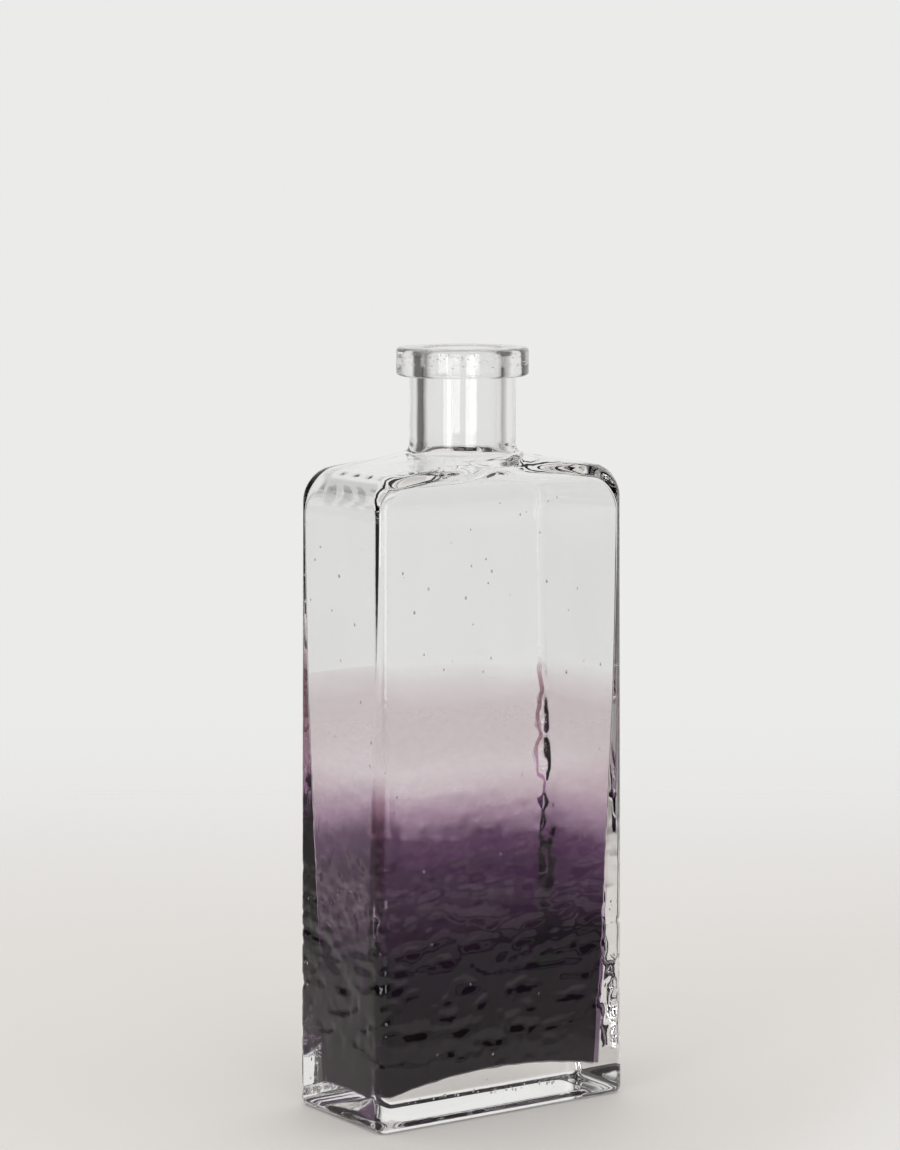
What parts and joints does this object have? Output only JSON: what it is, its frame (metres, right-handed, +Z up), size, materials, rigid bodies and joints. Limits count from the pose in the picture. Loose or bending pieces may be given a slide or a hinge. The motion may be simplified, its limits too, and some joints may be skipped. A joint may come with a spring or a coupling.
{
  "type": "glass bottle",
  "caption": "Tall rectangular glass bottle: thick clear walls over a purple lining that fades upwards, domed shoulder, round neck and applied lip. Holds liquid or flower stems.",
  "frame": {"origin": "middle of the base, on the plane that the bottle stands on", "axes": "+Z up through the mouth, X along the wide sides, -Y out of the front wide side"},
  "size_m": [0.102, 0.052, 0.26],
  "materials": {
    "clear_glass": "clear hand-worked glass, fire polished, with seeds and ripples",
    "amethyst_glass": "purple glass fused inside the clear, darkest at the floor and feathering out upwards"
  },
  "bodies": {
    "root": {"clear_casing": "clear_glass", "amethyst_lining": "amethyst_glass", "lip_ring": "clear_glass"}
  },
  "joints": []
}
